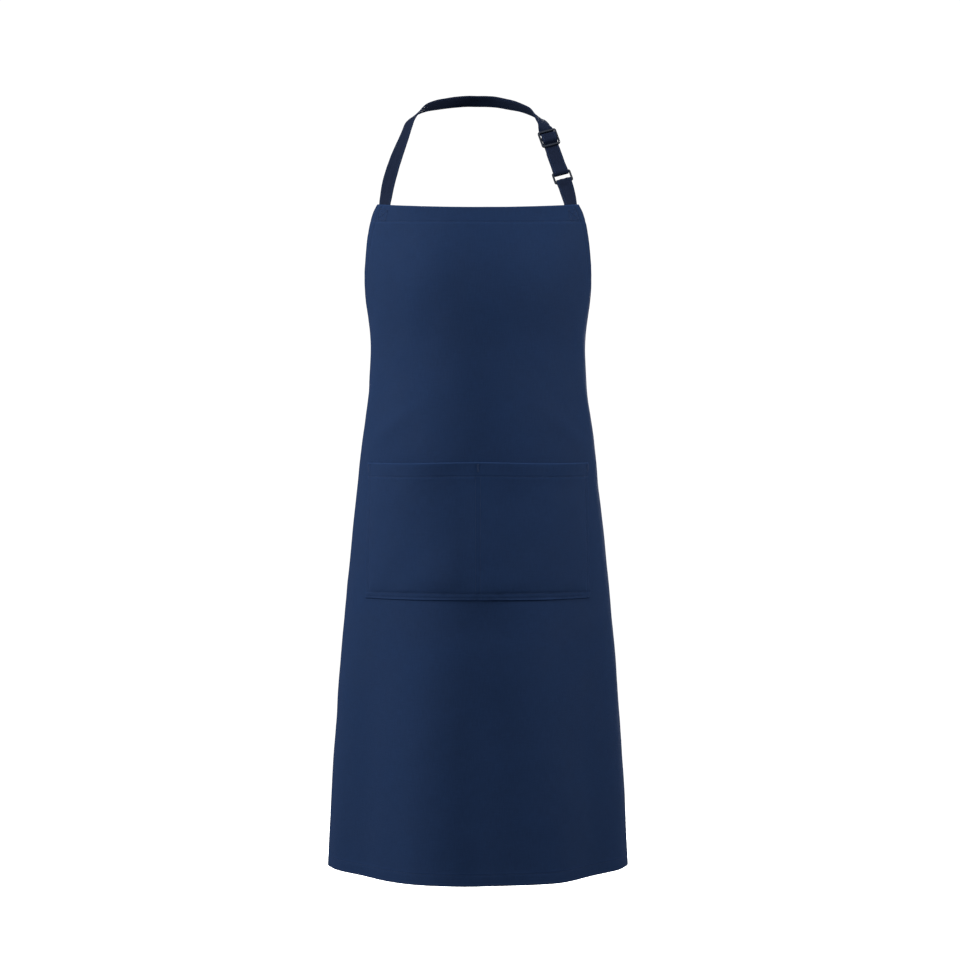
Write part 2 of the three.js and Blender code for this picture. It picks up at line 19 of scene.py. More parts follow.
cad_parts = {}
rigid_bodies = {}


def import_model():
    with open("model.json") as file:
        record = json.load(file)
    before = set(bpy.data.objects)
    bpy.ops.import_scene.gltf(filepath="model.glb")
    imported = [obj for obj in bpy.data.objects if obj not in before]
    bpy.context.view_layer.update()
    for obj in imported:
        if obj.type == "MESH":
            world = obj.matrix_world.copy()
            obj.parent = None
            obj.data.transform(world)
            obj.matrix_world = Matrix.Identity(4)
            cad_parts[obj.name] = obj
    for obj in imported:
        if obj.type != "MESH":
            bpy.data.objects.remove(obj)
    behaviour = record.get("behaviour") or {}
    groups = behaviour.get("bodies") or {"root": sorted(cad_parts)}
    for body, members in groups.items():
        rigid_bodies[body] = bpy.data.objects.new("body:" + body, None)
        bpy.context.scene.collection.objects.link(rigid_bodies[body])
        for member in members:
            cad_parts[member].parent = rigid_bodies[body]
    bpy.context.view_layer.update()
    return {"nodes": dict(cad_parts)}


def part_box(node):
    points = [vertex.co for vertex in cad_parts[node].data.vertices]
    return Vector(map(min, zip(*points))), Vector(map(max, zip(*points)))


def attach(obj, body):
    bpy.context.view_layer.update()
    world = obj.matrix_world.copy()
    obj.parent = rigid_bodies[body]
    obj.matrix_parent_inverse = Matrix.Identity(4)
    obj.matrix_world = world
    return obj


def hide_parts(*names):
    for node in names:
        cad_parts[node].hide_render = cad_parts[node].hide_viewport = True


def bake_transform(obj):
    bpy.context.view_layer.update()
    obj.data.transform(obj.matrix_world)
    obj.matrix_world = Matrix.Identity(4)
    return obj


# Blender starts with objects of its own.
for leftover in list(bpy.data.objects):
    bpy.data.objects.remove(leftover)
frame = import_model()

MM = 0.001

# ---- Camera ----

VIEW_FROM = Vector((0.0027, -3.8, -0.5227))  # level with the middle of the apron
LENS, SENSOR_WIDTH = 103.1, 36  # millimetres


def make_camera():
    data = bpy.data.cameras.new("camera")
    data.sensor_width = SENSOR_WIDTH
    data.lens = LENS
    camera = bpy.data.objects.new("camera", data)
    camera.location = VIEW_FROM
    camera.rotation_euler = (math.pi / 2, 0, 0)
    bpy.context.collection.objects.link(camera)
    bpy.context.scene.camera = camera


make_camera()

# ---- Sizes of the cloth, which the CAD solids only hold in outline ----

TWILL = 0.7 * MM  # one layer
GRID = 4.0 * MM  # between the fine rows and columns of the large pieces
TOP_HEM = 22 * MM
SIDE_HEM = 19 * MM
BOTTOM_HEM = 16 * MM
FACING = 13 * MM
POCKET_HEM = 20 * MM
SEAM_TURN = 9 * MM  # cloth turned under round the pocket
SEAM_IN = 2 * MM  # from a fold's edge to the stitches that hold it
RIM_BULGE = 0.32  # how far a sheet's rounded edge stands out, as a share of its thickness

STITCH = 2.7 * MM  # the length of one stitch that shows
PITCH = 3.3 * MM  # from one stitch to the next
THREAD = 0.45 * MM


# ---- Reading CAD sheets and tapes ----


def welded(node):
    """A CAD node's solid with its doubled corners joined."""
    mesh = bmesh.new()
    mesh.from_mesh(frame["nodes"][node].data)
    bmesh.ops.remove_doubles(mesh, verts=mesh.verts, dist=1e-6)
    return mesh


def smooth_groups(mesh, most):
    """The faces of mesh in groups that no edge sharper than most degrees divides, largest first."""
    limit = math.radians(most)
    groups, seen = [], set()
    for start in mesh.faces:
        if start in seen:
            continue
        group, waiting = [], [start]
        seen.add(start)
        while waiting:
            face = waiting.pop()
            group.append(face)
            for other in (f for e in face.edges for f in e.link_faces):
                if other not in seen and face.normal.angle(other.normal, 0) < limit:
                    seen.add(other)
                    waiting.append(other)
        groups.append(group)
    return sorted(groups, key=len, reverse=True)


def skin_rows(skin, first):
    """The points of one side of a CAD sheet, row by row from first, each row towards +X."""
    edges = {e for f in skin for e in f.edges}
    rows, seen = [], set()
    row = first
    while row:
        seen |= row
        beside = {v: [e.other_vert(v) for e in v.link_edges if e in edges] for v in row}
        ends = [v for v in row if sum(n in row for n in beside[v]) == 1]
        line = [min(ends, key=lambda v: v.co.x)]
        while len(line) < len(row):
            line.append(next(n for n in beside[line[-1]] if n in row and n not in line[-2:]))
        rows.append([v.co for v in line])
        row = {n for v in row for n in beside[v]} - seen
    return np.array(rows, float)


def cad_sheet(node):
    """The middle of a CAD sheet as (rows, columns, 3): rows run down, columns to the wearer's left."""
    mesh = welded(node)
    front, back, *rims = smooth_groups(mesh, 50)
    top = max(rims, key=lambda g: sum(f.calc_center_median().z for f in g) / len(g))
    edge = {v for f in top for v in f.verts}
    sides = [skin_rows(skin, {v for f in skin for v in f.verts} & edge) for skin in (front, back)]
    mesh.free()
    return (sides[0] + sides[1]) / 2


def cad_tape(node):
    """The corners of a CAD tape at each of its stations, as (stations, 4, 3).

    The corners go round the section: one face's two edges, then the other's two.
    """
    mesh = welded(node)
    ends = [g for g in smooth_groups(mesh, 30) if len(g) == 2]
    for end in sorted(ends, key=lambda g: sum(f.calc_area() for f in g)):
        layers = [sorted({v for f in end for v in f.verts}, key=lambda v: v.index)]
        seen = set(layers[0])
        while len(layers[-1]) == 4:
            reach = {e.other_vert(v) for v in layers[-1] for e in v.link_edges} - seen
            layers.append(sorted(reach, key=lambda v: v.index))
            seen |= reach
        if not layers[-1] and len(seen) == len(mesh.verts):
            break
    else:
        raise ValueError(f"{node} isn't a tape")
    points = [np.array([v.co for v in layer], float) for layer in layers[:-1]]
    mesh.free()
    far = np.linalg.norm(points[0] - points[0][0], axis=1).argsort()
    stations = [points[0][[far[0], far[2], far[3], far[1]]]]
    for layer in points[1:]:
        last = stations[-1]

        def turned(order, layer=layer, last=last):
            shape = layer[list(order)] - layer.mean(axis=0)
            return np.linalg.norm(shape - last + last.mean(axis=0), axis=1).sum()

        stations.append(layer[list(min(itertools.permutations(range(4)), key=turned))])
    return np.array(stations)


# ---- Smooth curves and surfaces through points ----


def unit(vectors):
    return vectors / np.maximum(np.linalg.norm(vectors, axis=-1, keepdims=True), 1e-12)


def ease(x):
    """0 up to 0, 1 from 1 on, and a smooth rise between."""
    x = np.clip(x, 0, 1)
    return x * x * (3 - 2 * x)


def bell(x):
    return np.exp(-np.square(x))


def walked(points):
    """How far along a line each of its points is."""
    steps = np.linalg.norm(np.diff(points, axis=0), axis=-1)
    return np.concatenate([[0], np.cumsum(steps)])


def nearest_index(places, at):
    """Which of places is nearest to at."""
    return int(np.abs(places - at).argmin())


def through(points, knots, at):
    """A smooth curve through points, which stand at knots, at the places at."""
    slopes = np.gradient(points, knots, axis=0, edge_order=2)
    i = np.clip(np.searchsorted(knots, at, side="right") - 1, 0, len(knots) - 2)
    column = (-1,) + (1,) * (points.ndim - 1)
    step = (knots[i + 1] - knots[i]).reshape(column)
    t = (at - knots[i]).reshape(column) / step
    t2, t3 = t * t, t * t * t
    return (
        (2 * t3 - 3 * t2 + 1) * points[i]
        + (t3 - 2 * t2 + t) * step * slopes[i]
        + (3 * t2 - 2 * t3) * points[i + 1]
        + (t3 - t2) * step * slopes[i + 1]
    )


def lines(start, *stops):
    """Places from start on. Each stop is (place, the step up to it)."""
    places = [start]
    for stop, step in stops:
        count = max(1, round(abs(stop - places[-1]) / step))
        places += list(np.linspace(places[-1], stop, count + 1)[1:])
    return np.array(places)


def grid_normals(points, outward):
    """Unit normals of a grid of points, on the side that outward points to at its middle."""
    down, across = np.gradient(points, axis=0), np.gradient(points, axis=1)
    normals = unit(np.cross(across, down))
    middle = normals[len(points) // 2, points.shape[1] // 2]
    return normals if middle @ np.array(outward, float) > 0 else -normals


def soft_noise(across, along, size, seed):
    """Slow noise from -1 to 1 over places on the cloth. size is about one bump."""
    flat = np.stack([np.ravel(across) / size, np.ravel(along) / size], axis=1)
    values = [noise.noise(Vector((x, y, seed))) for x, y in flat]
    return np.array(values).reshape(np.shape(across))


# ---- Meshes ----


def link(obj):
    bpy.context.collection.objects.link(obj)
    return obj


def mesh_object(name, vertices, faces, material):
    mesh = bpy.data.meshes.new(name)
    mesh.from_pydata(vertices, [], faces)
    mesh.materials.append(material)
    mesh.shade_smooth()
    return link(bpy.data.objects.new(name, mesh))


def border(rows, columns):
    """The indices of a grid's border, once round, and of the points one step inside."""
    r, c = rows - 1, columns - 1
    line = [(0, j) for j in range(c)] + [(i, c) for i in range(r)]
    line += [(r, j) for j in range(c, 0, -1)] + [(i, 0) for i in range(r, 0, -1)]
    i, j = np.array(line).T
    inner = np.clip(i, 1, r - 1) * columns + np.clip(j, 1, c - 1)
    return i * columns + j, inner


def mark_cloth(mesh, flat, wear_and_highlight):
    """Stores each vertex's place in the cut cloth, and how much paler it is painted for worn edges and
    for painted highlight, where the materials read them.
    """
    corner = np.empty(len(mesh.loops), np.int64)
    mesh.loops.foreach_get("vertex_index", corner)
    mesh.uv_layers.new(name="cloth").data.foreach_set("uv", flat[corner].ravel())
    mesh.attributes.new("wear_and_highlight", "FLOAT", "POINT").data.foreach_set("value", wear_and_highlight)


def cloth_object(name, front, back, flat, wear_and_highlight, material):
    """A closed sheet between two grids of points, with a rounded edge.

    flat is each point's place in the cut cloth, and the last argument how much paler each point is
    painted, from 0 to 1: for worn edges, and on the pocket for a painted highlight.
    """
    rows, columns = front.shape[:2]
    count = rows * columns
    cell = np.arange(count).reshape(rows, columns)
    a, b, c, d = cell[:-1, :-1], cell[:-1, 1:], cell[1:, 1:], cell[1:, :-1]
    face = np.stack([a, b, c, d], axis=-1).reshape(-1, 4)
    ring, inner = border(rows, columns)
    middle = ((front + back) / 2).reshape(-1, 3)
    thick = np.linalg.norm(front - back, axis=-1).reshape(-1, 1)
    rim = middle[ring] + unit(middle[ring] - middle[inner]) * thick[ring] * RIM_BULGE
    edge = 2 * count + np.arange(len(ring))
    on, edge_on = np.roll(ring, -1), np.roll(edge, -1)
    walls = [
        np.stack([ring, edge, edge_on, on], axis=1),
        np.stack([edge, ring + count, on + count, edge_on], axis=1),
    ]
    faces = np.concatenate([face, face[:, ::-1] + count, *walls])
    along = np.cross(front[0, 1] - front[0, 0], front[1, 0] - front[0, 0])
    if along @ (front[0, 0] - back[0, 0]) < 0:
        faces = faces[:, ::-1]
    points = np.concatenate([front.reshape(-1, 3), back.reshape(-1, 3), rim])
    obj = mesh_object(name, points, faces.tolist(), material)
    source = np.concatenate([np.arange(count), np.arange(count), ring])
    mark_cloth(obj.data, flat.reshape(-1, 2)[source], wear_and_highlight.ravel()[source])
    return obj


def sew(name, seams, length=STITCH, pitch=PITCH, width=THREAD):
    """Stitches along seams of points and normals: each a short thread that dives in at both ends."""
    sides = 6
    angles = np.arange(sides) * 2 * math.pi / sides
    # Each ring of a stitch: its place along it, then its height and its size in half widths.
    rings = [(-0.5, -0.8, 0.55), (-0.3, 0.45, 1), (0.3, 0.45, 1), (0.5, -0.8, 0.55)]
    vertices, faces = [], []
    for points, normals in seams:
        far = walked(points)
        places = np.arange(pitch / 2, far[-1], pitch)
        if not len(places):
            continue

        def along(values, at, far=far):
            return np.stack([np.interp(at, far, values[:, k]) for k in range(3)], axis=1)

        centre = along(points, places)
        ahead = unit(along(points, places + length / 3) - along(points, places - length / 3))
        up = unit(along(normals, places))
        side = unit(np.cross(up, ahead))
        up = np.cross(ahead, side)
        for i in range(len(places)):
            base = len(vertices)
            for share, height, size in rings:
                middle = centre[i] + ahead[i] * share * length + up[i] * height * width / 2
                for angle in angles:
                    round_it = math.cos(angle) * side[i] + math.sin(angle) * up[i]
                    vertices.append(middle + round_it * size * width / 2)
            for k in range(len(rings) - 1):
                for j in range(sides):
                    a, b = base + k * sides + j, base + k * sides + (j + 1) % sides
                    faces.append((a, b, b + sides, a + sides))
            faces.append(tuple(base + j for j in reversed(range(sides))))
            faces.append(tuple(base + (len(rings) - 1) * sides + j for j in range(sides)))
    return mesh_object(name, vertices, faces, THREADS)


# ---- Materials ----


def make_material(name, **inputs):
    material = bpy.data.materials.new(name)
    material.use_nodes = True
    shader = material.node_tree.nodes["Principled BSDF"]
    for socket, value in inputs.items():
        shader.inputs[socket.replace("_", " ")].default_value = value
    return material, shader


def add_node(material, kind, inputs=None, output=0, **settings):
    """A new shader node with its inputs set or linked. Returns one of its outputs."""
    made = material.node_tree.nodes.new("ShaderNode" + kind)
    for key, value in settings.items():
        setattr(made, key, value)
    for key, value in (inputs or {}).items():
        if isinstance(value, bpy.types.NodeSocket):
            material.node_tree.links.new(value, made.inputs[key])
        else:
            made.inputs[key].default_value = value
    return made.outputs[output]


def maths(material, operation, *values):
    """The result of a Math node: values are numbers or sockets."""
    return add_node(material, "Math", dict(enumerate(values)), operation=operation)


def mixed(material, blend_type, factor, a, b):
    """Two colours mixed."""
    inputs = {"Factor": factor, "A": a, "B": b}
    settings = {"data_type": "RGBA", "blend_type": blend_type}
    return add_node(material, "Mix", inputs, output="Result", **settings)


def noise_at(material, vector, scale, detail, **more):
    """A Noise texture at a vector. more are its other inputs."""
    inputs = {"Vector": vector, "Scale": scale, "Detail": detail, **more}
    return add_node(material, "TexNoise", inputs)


def ramp(material, factor, *stops):
    """The factor turned into a colour through (place, colour) stops."""
    made = add_node(material, "ValToRGB", {"Fac": factor})
    elements = made.node.color_ramp.elements
    for i, (place, colour) in enumerate(stops):
        element = elements[i] if i < 2 else elements.new(place)
        element.position = place
        element.color = colour
    return made


def tone(colour, gain):
    return tuple(min(1.0, part * gain) for part in colour[:3]) + (1.0,)


def grey(value):
    return (value, value, value, 1.0)


def surface(material, shader, colour, rough, height, depth, strength):
    """Gives a shader its colour, its roughness as MapRange inputs, and a relief of that depth."""
    links = material.node_tree.links
    links.new(colour, shader.inputs["Base Color"])
    links.new(add_node(material, "MapRange", rough), shader.inputs["Roughness"])
    bump = {"Height": height, "Distance": depth, "Strength": strength}
    links.new(add_node(material, "Bump", bump), shader.inputs["Normal"])


def bands(pitch):
    """The scale of a Wave texture whose bands are this far apart."""
    return math.pi / 10 / pitch


NAVY = (0.0085, 0.0235, 0.0690)
WEBBING = (0.0052, 0.0100, 0.0270)
RIB_PITCH = 1.05 * MM  # between the slanting ribs of the twill
RIB_LEAN = math.radians(62)


def cloth_material(name, colour, rib_pitch=RIB_PITCH, rib_depth=0.12 * MM):
    """Twill: slanting ribs, uneven yarns, slow patches of tone, and places painted a little paler:
    worn edges, and a painted highlight at the pocket's mouth.
    """
    material, shader = make_material(
        name,
        Specular_IOR_Level=0.1,
        Sheen_Weight=0.1,
        Sheen_Roughness=0.55,
        Sheen_Tint=tone(colour, 6),
    )
    place = add_node(material, "UVMap", output="UV", uv_map="cloth")

    def laid(scale, rotation=0.0):
        inputs = {"Vector": place, "Scale": scale, "Rotation": (0, 0, rotation)}
        return add_node(material, "Mapping", inputs)

    wave = {"Vector": laid((1, 1, 1), RIB_LEAN), "Scale": bands(rib_pitch)}
    wave.update({"Distortion": 0.6, "Detail": 1.0, "Detail Scale": 2.0})
    ribs = add_node(material, "TexWave", wave, output="Fac", bands_direction="X")
    warp = noise_at(material, laid((900, 70, 1)), 1, 3, Roughness=0.6)
    weft = noise_at(material, laid((60, 800, 1)), 1, 2, Roughness=0.6)
    patches = noise_at(material, place, 14, 4, Roughness=0.6)
    wear_and_highlight = add_node(material, "Attribute", output="Fac", attribute_name="wear_and_highlight")

    yarns = maths(material, "MULTIPLY_ADD", weft, 0.4, maths(material, "MULTIPLY", warp, 0.6))
    dyed = ramp(material, yarns, (0.3, tone(colour, 0.86)), (0.72, tone(colour, 1.14)))
    slow = ramp(material, patches, (0.25, grey(0.92)), (0.75, grey(1.0)))
    ribbed = ramp(material, ribs, (0.0, grey(0.8)), (0.6, grey(1.0)))
    shaded = mixed(material, "MULTIPLY", 1.0, mixed(material, "MULTIPLY", 1.0, dyed, slow), ribbed)
    # Worn edges, and the painted highlight at the pocket's mouth, both come in through one attribute
    # and are painted paler here; worn is the colour with both.
    paler_wear_and_highlight = maths(material, "MULTIPLY", wear_and_highlight, maths(material, "MULTIPLY", yarns, 1.4))
    worn = mixed(material, "MIX", paler_wear_and_highlight, shaded, tone(colour, 1.5))
    rough = {"Value": patches, "From Min": 0.2, "From Max": 0.8, "To Min": 0.78, "To Max": 0.92}
    height = maths(material, "MULTIPLY_ADD", yarns, 0.5, ribs)
    surface(material, shader, worn, rough, height, rib_depth, 0.8)
    return material


def thread_material():
    """Spun polyester thread: a little glossier than the twill, with a fine twist."""
    colour = (*NAVY, 1)
    sheen = {"Sheen_Weight": 0.05, "Sheen_Tint": tone(colour, 5)}
    material, shader = make_material("thread", Specular_IOR_Level=0.2, **sheen)
    place = add_node(material, "TexCoord", output="Object")
    turned = add_node(material, "Mapping", {"Vector": place, "Rotation": (0.5, 0.6, 0.7)})
    wave = {"Vector": turned, "Scale": bands(0.3 * MM), "Distortion": 1.0}
    twist = add_node(material, "TexWave", wave, output="Fac")
    fuzz = noise_at(material, place, 900, 2)
    both = maths(material, "MULTIPLY_ADD", twist, 0.6, maths(material, "MULTIPLY", fuzz, 0.6))
    shade = ramp(material, both, (0.2, tone(colour, 0.75)), (0.9, tone(colour, 1.25)))
    rough = {"Value": fuzz, "To Min": 0.5, "To Max": 0.75}
    surface(material, shader, shade, rough, twist, 0.04 * MM, 0.6)
    return material


def plastic_material():
    """Moulded nylon: fine spark-eroded texture, faint flow marks, corners polished by wear."""
    colour = (0.0062, 0.0105, 0.0205, 1)
    material, shader = make_material("plastic", Specular_IOR_Level=0.25)
    place = add_node(material, "TexCoord", output="Object")
    grain = noise_at(material, place, 2600, 3)
    flow = noise_at(material, place, 90, 3, Distortion=1.5)
    edges = add_node(material, "NewGeometry", output="Pointiness")
    worn = add_node(material, "MapRange", {"Value": edges, "From Min": 0.52, "From Max": 0.62})
    base = ramp(material, flow, (0.3, tone(colour, 0.8)), (0.75, tone(colour, 1.25)))
    shade = mixed(material, "MIX", maths(material, "MULTIPLY", worn, 0.25), base, tone(colour, 2))
    uneven = maths(material, "MULTIPLY_ADD", grain, 0.5, flow)
    rough = {"Value": uneven, "From Max": 1.4, "To Min": 0.45, "To Max": 0.65}
    surface(material, shader, shade, rough, grain, 0.05 * MM, 0.35)
    return material


def label_material():
    """Off-white woven satin: fine cross ribs, soft gloss, a trace of yellowing at the edges."""
    colour = (0.80, 0.79, 0.74, 1)
    material, shader = make_material("label", Specular_IOR_Level=0.4, Sheen_Weight=0.15)
    place = add_node(material, "UVMap", output="UV", uv_map="cloth")
    wave = {"Vector": place, "Scale": bands(0.45 * MM), "Distortion": 0.4}
    ribs = add_node(material, "TexWave", wave, output="Fac", bands_direction="Y")
    stretched = add_node(material, "Mapping", {"Vector": place, "Scale": (200, 1500, 1)})
    yarns = noise_at(material, stretched, 1, 2)
    wear_and_highlight = add_node(material, "Attribute", output="Fac", attribute_name="wear_and_highlight")
    base = ramp(material, yarns, (0.3, tone(colour, 0.93)), (0.7, tone(colour, 1.04)))
    aged = mixed(material, "MIX", maths(material, "MULTIPLY", wear_and_highlight, 0.5), base, (0.7, 0.66, 0.55, 1))
    rough = {"Value": yarns, "To Min": 0.45, "To Max": 0.65}
    height = maths(material, "MULTIPLY_ADD", ribs, 0.7, yarns)
    surface(material, shader, aged, rough, height, 0.05 * MM, 0.5)
    return material


TWILL_CLOTH = cloth_material("twill", NAVY)
TAPE_CLOTH = cloth_material("tape", WEBBING, rib_pitch=0.8 * MM, rib_depth=0.1 * MM)
THREADS = thread_material()
PLASTIC = plastic_material()
LABEL = label_material()


def place_piece(obj, body="apron", nodes=()):
    """Attaches a finished piece to the body it moves with, and hides the CAD nodes it stands for.

    body is a body, or the two ends of a run between the apron and the slider; such a piece
    only has its transform baked into its mesh.
    """
    if isinstance(body, str):
        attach(obj, body)
    else:
        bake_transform(obj)
    if nodes:
        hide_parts(*nodes)


# ---- Front panel ----


SEAM_DENT = 0.24 * MM  # how deep a row of stitches pulls the cloth in


def seam_dent(distance, at):
    """The groove that a row of stitches pulls into the cloth, between two slight ridges."""
    beside = distance - at
    ridges = bell((beside - 2.6 * MM) / (1.5 * MM)) + bell((beside + 2.4 * MM) / (1.3 * MM))
    return 0.3 * SEAM_DENT * ridges - SEAM_DENT * bell(beside / (1.0 * MM))


def pucker(distance, at, across, along, seed):
    """The small irregular gathers beside a row of stitches."""
    ripple = soft_noise(across, along, 9 * MM, seed)
    return 0.3 * MM * ripple * bell((distance - at) / (7 * MM))


def within(distance, width):
    """1 nearer than width to an edge, and 0 further in, with a short step between."""
    return ease((width - distance) / (1.2 * MM) + 0.5)


panel_cad = cad_sheet("front_panel")
centre_column = panel_cad.shape[1] // 2
outline_turns = unit(np.diff(panel_cad[:, 0], axis=0))
outline_turns = (outline_turns[1:] * outline_turns[:-1]).sum(axis=1)
WAIST_ROW = int(outline_turns.argmin()) + 1
cad_down = walked(panel_cad[:, centre_column])
PANEL_LENGTH = cad_down[-1]
WAIST_DOWN = cad_down[WAIST_ROW]
cad_half = np.array([walked(row)[-1] / 2 for row in panel_cad])
cad_height = panel_cad[:, 0, 2]


def panel_half(z):
    """Half the panel's width at height z."""
    return np.interp(-z, -cad_height, cad_half)


# Soft folds of the panel, in millimetres: the middle's distance from the centre front and height,
# the lean from upright in degrees, half the width, half the length, and how far it stands out.
FOLDS = [
    (-70, -262, 0, 52, 50, 4.5),  # over the chest
    (74, -268, 0, 50, 52, 4.0),
    (0, -322, 0, 100, 58, 2.5),  # below the chest
    (0, -520, 0, 125, 84, -7.5),  # fallen in round the pocket's mouth
    (-172, -372, -14, 24, 80, 2.6),  # drawn towards the ties
    (-210, -420, -34, 16, 70, -1.8),
    (176, -380, 14, 24, 80, 2.4),
    (214, -428, 34, 16, 70, -1.6),
    (-128, -450, -60, 12, 60, 1.2),
    (134, -455, 62, 12, 60, 1.0),
    (0, -712, 0, 52, 34, -2.4),  # below the middle of the pocket
]
# Flutes of the skirt, in millimetres: distance from the centre front at the hem, half width, how
# far they stand out there, and their distance where they begin, as a share of that at the hem.
FLUTES = [
    (-262, 30, 4.0, 0.80),
    (-190, 32, -3.5, 0.82),
    (-84, 44, 6.0, 0.86),
    (26, 36, -7.5, 0.60),
    (112, 36, 6.5, 0.84),
    (196, 28, -3.0, 0.84),
    (262, 28, 3.5, 0.82),
]
FLUTE_TOP = -600 * MM
HEM_HEIGHT = panel_cad[-1, :, 2].min()
HEM_SAG = 1.3 * MM  # at the middle of the hem, and twice that beside it
SAG_BESIDE = 160 * MM  # from the centre front
SAG_WIDTH = 70 * MM
UNEVEN = [(0.9 * MM, 70 * MM, 3.7), (0.35 * MM, 26 * MM, 8.1)]  # waves: depth, size and seed
HELD_EDGE = 22 * MM  # the sides lie on the form this far in
HELD_FADE = 55 * MM  # and the cloth comes free of it over this much more


def hanging(height):
    """From 0 where the cloth leaves the wearer to 1 at the hem."""
    return np.clip((FLUTE_TOP - height) / (FLUTE_TOP - HEM_HEIGHT), 0, 1)


def sag(across, height):
    """How far its own weight draws the cloth down: most at the hem, on both sides of the middle."""
    beside = bell((np.abs(across) - SAG_BESIDE) / SAG_WIDTH)
    return HEM_SAG * hanging(height) ** 3 * (1 + beside)


def drape(across, height):
    """How far the hanging cloth stands out from the wearer's form."""
    out = np.zeros(np.shape(across))
    for s, z, lean, half_width, half_length, depth in FOLDS:
        ds, dz = across - s * MM, height - z * MM
        turn = math.radians(lean)
        beside = ds * math.cos(turn) + dz * math.sin(turn)
        along = dz * math.cos(turn) - ds * math.sin(turn)
        out += depth * MM * bell(beside / (half_width * MM)) * bell(along / (half_length * MM))
    down = hanging(height)
    for s, half_width, depth, start in FLUTES:
        middle = s * MM * (start + (1 - start) * down)
        out += depth * MM * ease(1.3 * down) * bell((across - middle) / (half_width * MM))
    for depth, size, seed in UNEVEN:
        out += depth * soft_noise(across, height, size, seed)
    return out * ease((panel_half(height) - np.abs(across) - HELD_EDGE) / HELD_FADE)


def spread_rows(grid, knots, corner, at):
    """Fine rows through a grid's rows, which may turn sharply at the row corner."""
    upper = at <= knots[corner]
    above = through(grid[: corner + 1], knots[: corner + 1], at[upper])
    below = through(grid[corner:], knots[corner:], at[~upper])
    return np.concatenate([above, below])


def spread_columns(rows, edge, shares):
    """Fine columns through each row: at edge distances from both sides, and at shares between."""
    fine, places = [], []
    for row in rows:
        knots = walked(row)
        half = knots[-1] / 2
        at = np.concatenate([edge - half, shares * (half - edge[-1]), half - edge[::-1]])
        fine.append(through(row, knots - half, at))
        places.append(at)
    return np.array(fine), np.array(places)


def sewn_sheet(name, middle, across, along, layers, rows_of_stitches, wear_and_highlight):
    """A sheet of twill about middle: layers lie folded behind it, and stitches pull it in.

    A row of stitches is the distance of every point from an edge, the distance where the row runs,
    how much of the row is there, from 0 to 1, and a seed. Returns the sheet, the points of its
    front and its normals.
    """
    normals = grid_normals(middle, (0, -1, 0))
    raised = np.zeros(across.shape)
    for distance, at, share, seed in rows_of_stitches:
        raised += share * (seam_dent(distance, at) + pucker(distance, at, across, along, seed))
    front = middle + normals * (TWILL / 2 + raised)[..., None]
    back = middle - normals * (TWILL / 2 + layers * TWILL - 0.7 * raised)[..., None]
    flat = np.stack([across, -along], axis=-1)
    obj = cloth_object(name, front, back, flat, np.clip(wear_and_highlight, 0, 1), TWILL_CLOTH)
    return obj, front, normals


PANEL_COLUMNS = 131  # cells between the hemmed sides


def make_panel():
    down = lines(
        0,
        (2.5 * MM, 0.8 * MM),
        (TOP_HEM - 5 * MM, 3.5 * MM),
        (TOP_HEM + 3 * MM, 0.8 * MM),
        (WAIST_DOWN, GRID),
        (PANEL_LENGTH - BOTTOM_HEM - 3 * MM, GRID),
        (PANEL_LENGTH - BOTTOM_HEM + 5 * MM, 0.8 * MM),
        (PANEL_LENGTH - 2.5 * MM, 3.5 * MM),
        (PANEL_LENGTH, 0.8 * MM),
    )
    edge = lines(
        0,
        (4 * MM, 0.8 * MM),
        (FACING - 4 * MM, 2 * MM),
        (FACING + 1 * MM, 0.8 * MM),
        (SIDE_HEM - 4 * MM, 2 * MM),
        (SIDE_HEM + 2 * MM, 0.8 * MM),
    )
    shares = np.linspace(-1, 1, PANEL_COLUMNS + 1)[1:-1]
    middle, across = spread_columns(spread_rows(panel_cad, cad_down, WAIST_ROW, down), edge, shares)
    along = np.broadcast_to(down[:, None], across.shape)
    normals = grid_normals(middle, (0, -1, 0))
    middle = middle + normals * drape(across, middle[..., 2])[..., None]
    middle[..., 2] -= sag(across, middle[..., 2])

    from_top, from_hem = along, PANEL_LENGTH - along
    from_side = -across[:, :1] - np.abs(across)
    in_armhole = within(along, WAIST_DOWN)
    layers = np.maximum(2 * within(from_top, TOP_HEM), 2 * within(from_hem, BOTTOM_HEM))
    layers = np.maximum(layers, 2 * within(from_side, SIDE_HEM) * (1 - in_armhole))
    layers = np.maximum(layers, 0.5 * within(from_side, FACING) * in_armhole)
    rows_of_stitches = [
        (from_top, TOP_HEM - SEAM_IN, 1, 1.3),
        (from_hem, BOTTOM_HEM - SEAM_IN, 1, 2.9),
        (from_side, SIDE_HEM - SEAM_IN, 1 - in_armhole, 4.1),
        (from_side, FACING - SEAM_IN, in_armhole, 5.3),
        (from_side, SEAM_IN, in_armhole, 6.7),
    ]
    nearest = np.minimum(np.minimum(from_top, from_hem), from_side)
    wear_and_highlight = 0.6 * bell(nearest / (0.9 * MM))
    for distance, at, share, _ in rows_of_stitches:
        wear_and_highlight += share * 0.25 * bell((distance - at - SEAM_IN) / (1.2 * MM))
    made = sewn_sheet("front_panel_cloth", middle, across, along, layers, rows_of_stitches, wear_and_highlight)
    return *made, down, edge


panel, panel_front, panel_normals, panel_down, panel_edge = make_panel()
place_piece(panel, nodes=["front_panel"])


